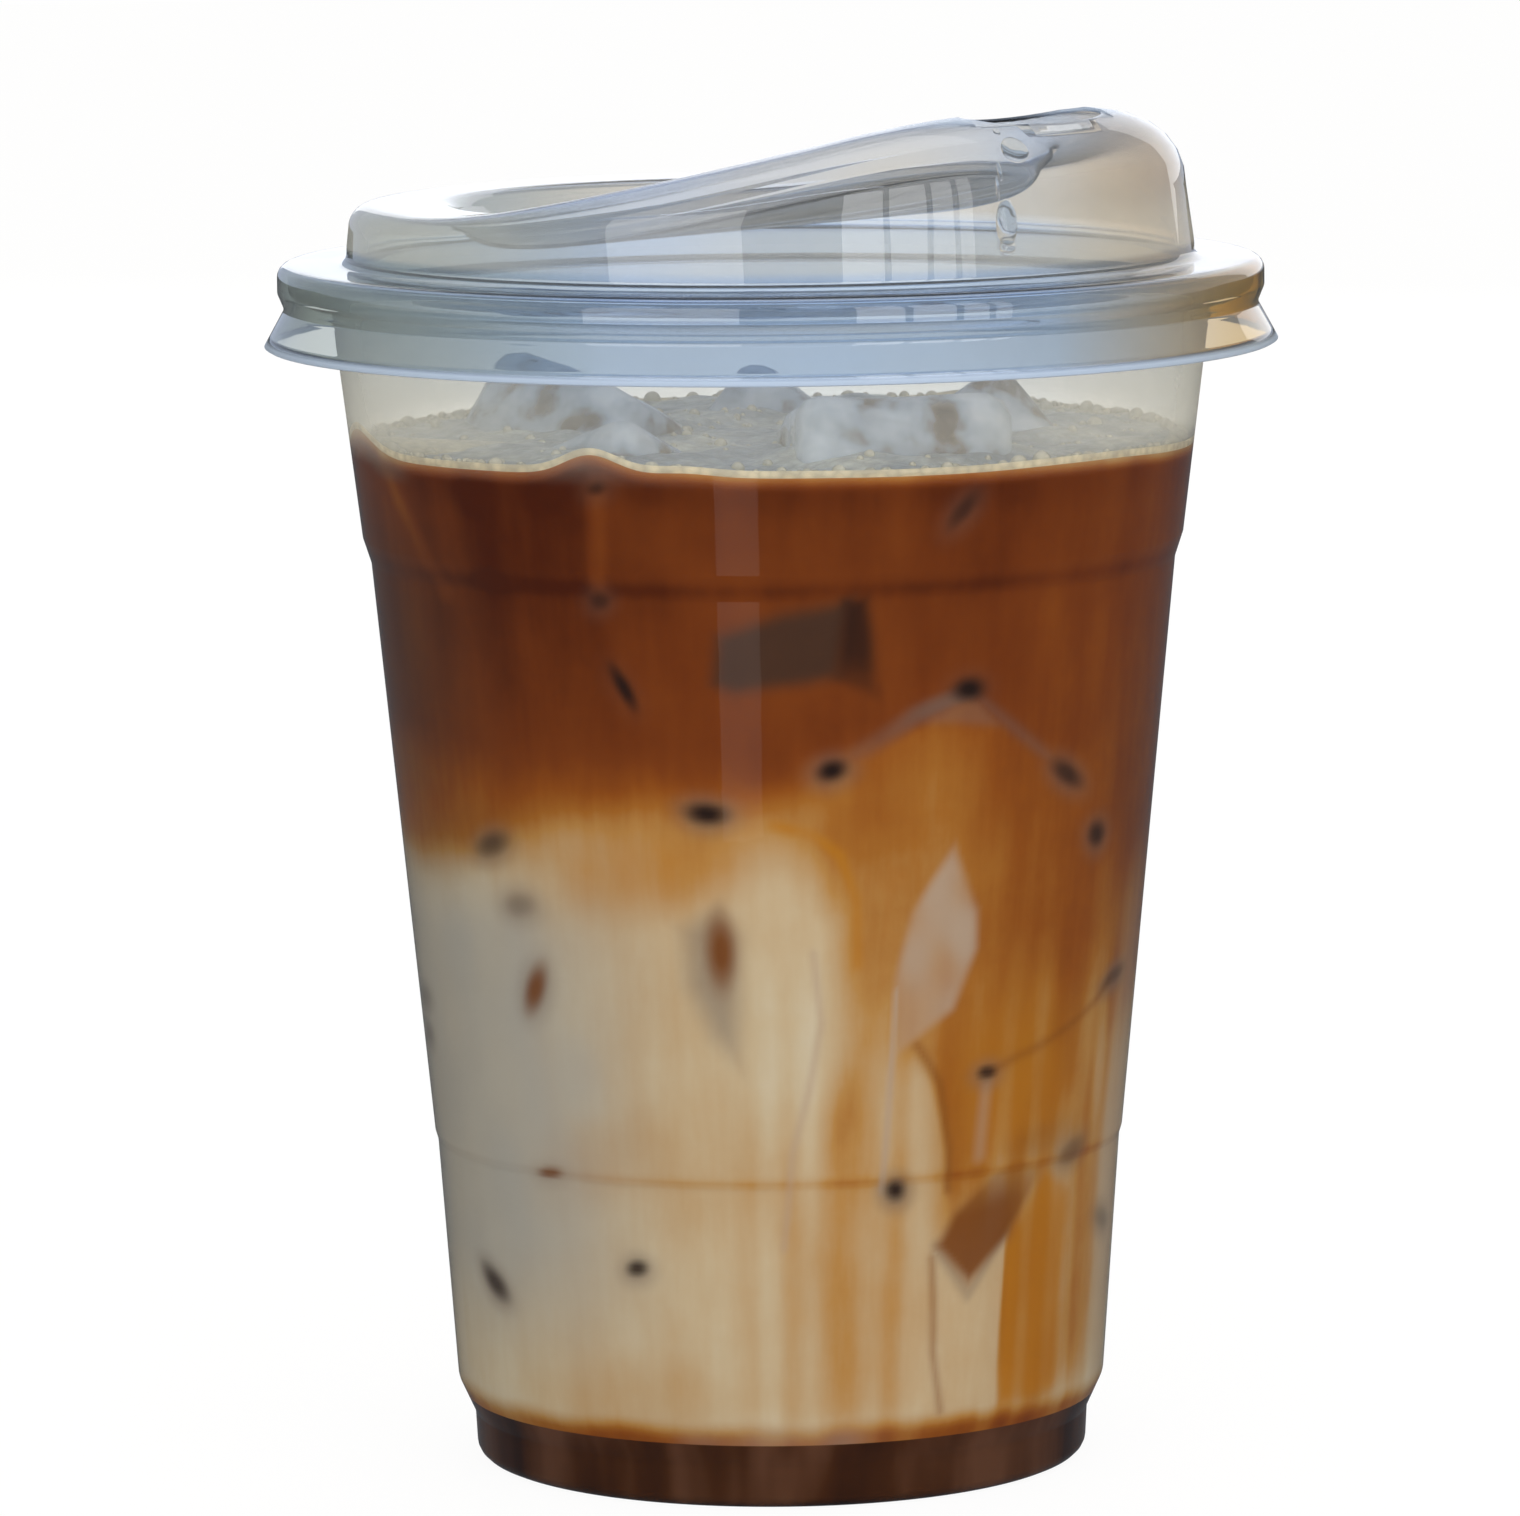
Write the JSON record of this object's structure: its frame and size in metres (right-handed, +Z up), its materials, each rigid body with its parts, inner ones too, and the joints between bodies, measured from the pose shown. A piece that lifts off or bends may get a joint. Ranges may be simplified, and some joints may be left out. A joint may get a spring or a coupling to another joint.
{
  "type": "iced caramel latte",
  "caption": "Iced caramel latte with layered milk, coffee, foam and ice in a clear tapered takeaway cup under a clear strawless sip lid.",
  "frame": {"origin": "centre of the foot ring, on the plane the cup stands on", "axes": "+Z up along the cup's axis; the sip side of the lid points to 42 degrees below +X, so towards +X and -Y"},
  "size_m": [0.1042, 0.1042, 0.1409],
  "materials": {
    "clear_pet": "clear, glossy thermoformed sheet",
    "syrup": "thick dark caramel syrup",
    "milk": "milk with streaks of coffee",
    "coffee": "milky coffee with caramel",
    "foam": "fine pale froth",
    "ice": "clear wet ice"
  },
  "bodies": {
    "root": {"cup": "clear_pet", "lid": "clear_pet", "caramel": "syrup", "milk": "milk", "coffee": "coffee", "foam": "foam", "ice_1": "ice", "ice_2": "ice", "ice_3": "ice", "ice_4": "ice", "ice_5": "ice"}
  },
  "joints": []
}
